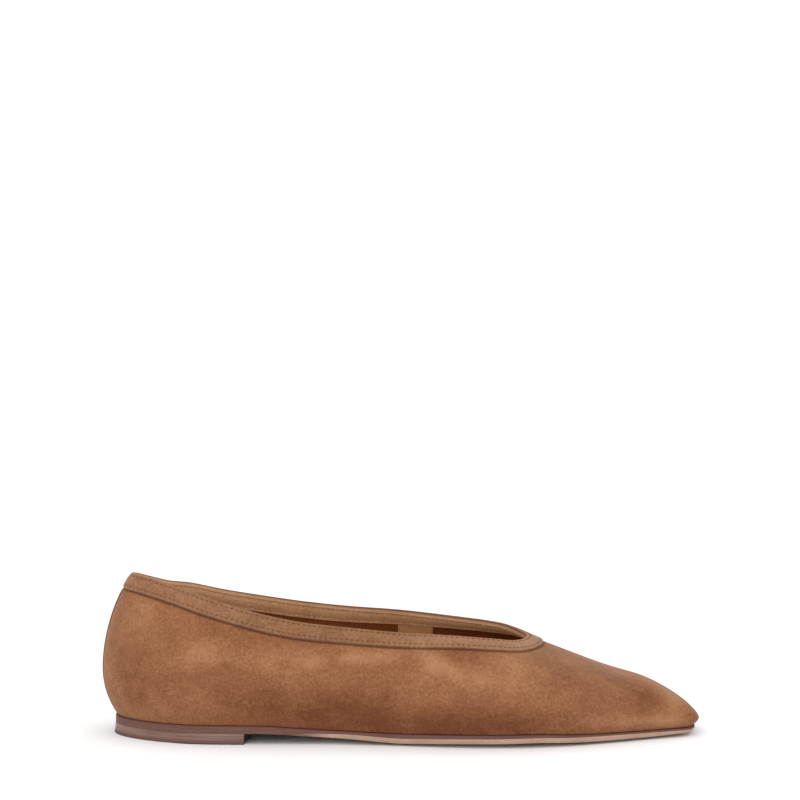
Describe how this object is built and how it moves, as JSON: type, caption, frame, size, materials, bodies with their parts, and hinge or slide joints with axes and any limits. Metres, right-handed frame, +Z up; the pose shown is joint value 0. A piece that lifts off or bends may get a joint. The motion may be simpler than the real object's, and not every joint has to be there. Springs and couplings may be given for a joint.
{
  "type": "flat shoe",
  "caption": "Right flat slip-on shoe in soft suede with a squared pointed toe, a low-cut topline bound in a stitched strip, a thin leather sole and a low stacked heel.",
  "frame": {"origin": "on the floor, under the middle of the shoe's bounding box", "axes": "+X along the shoe to the toe, +Y to the inner side of the foot, +Z up"},
  "size_m": [0.2548, 0.0814, 0.0685],
  "materials": {
    "suede": "napped suede, matt",
    "binding": "napped suede strip, matt, stitched",
    "sock": "smooth lining leather",
    "sole": "smooth sole leather with a dyed edge",
    "edge": "stacked leather, dyed and waxed",
    "rubber": "matt"
  },
  "bodies": {
    "root": {"upper": "suede", "topline_binding": "binding", "insole": "sock", "outsole": "sole", "heel_block": "edge", "heel_top_piece": "rubber"}
  },
  "joints": []
}
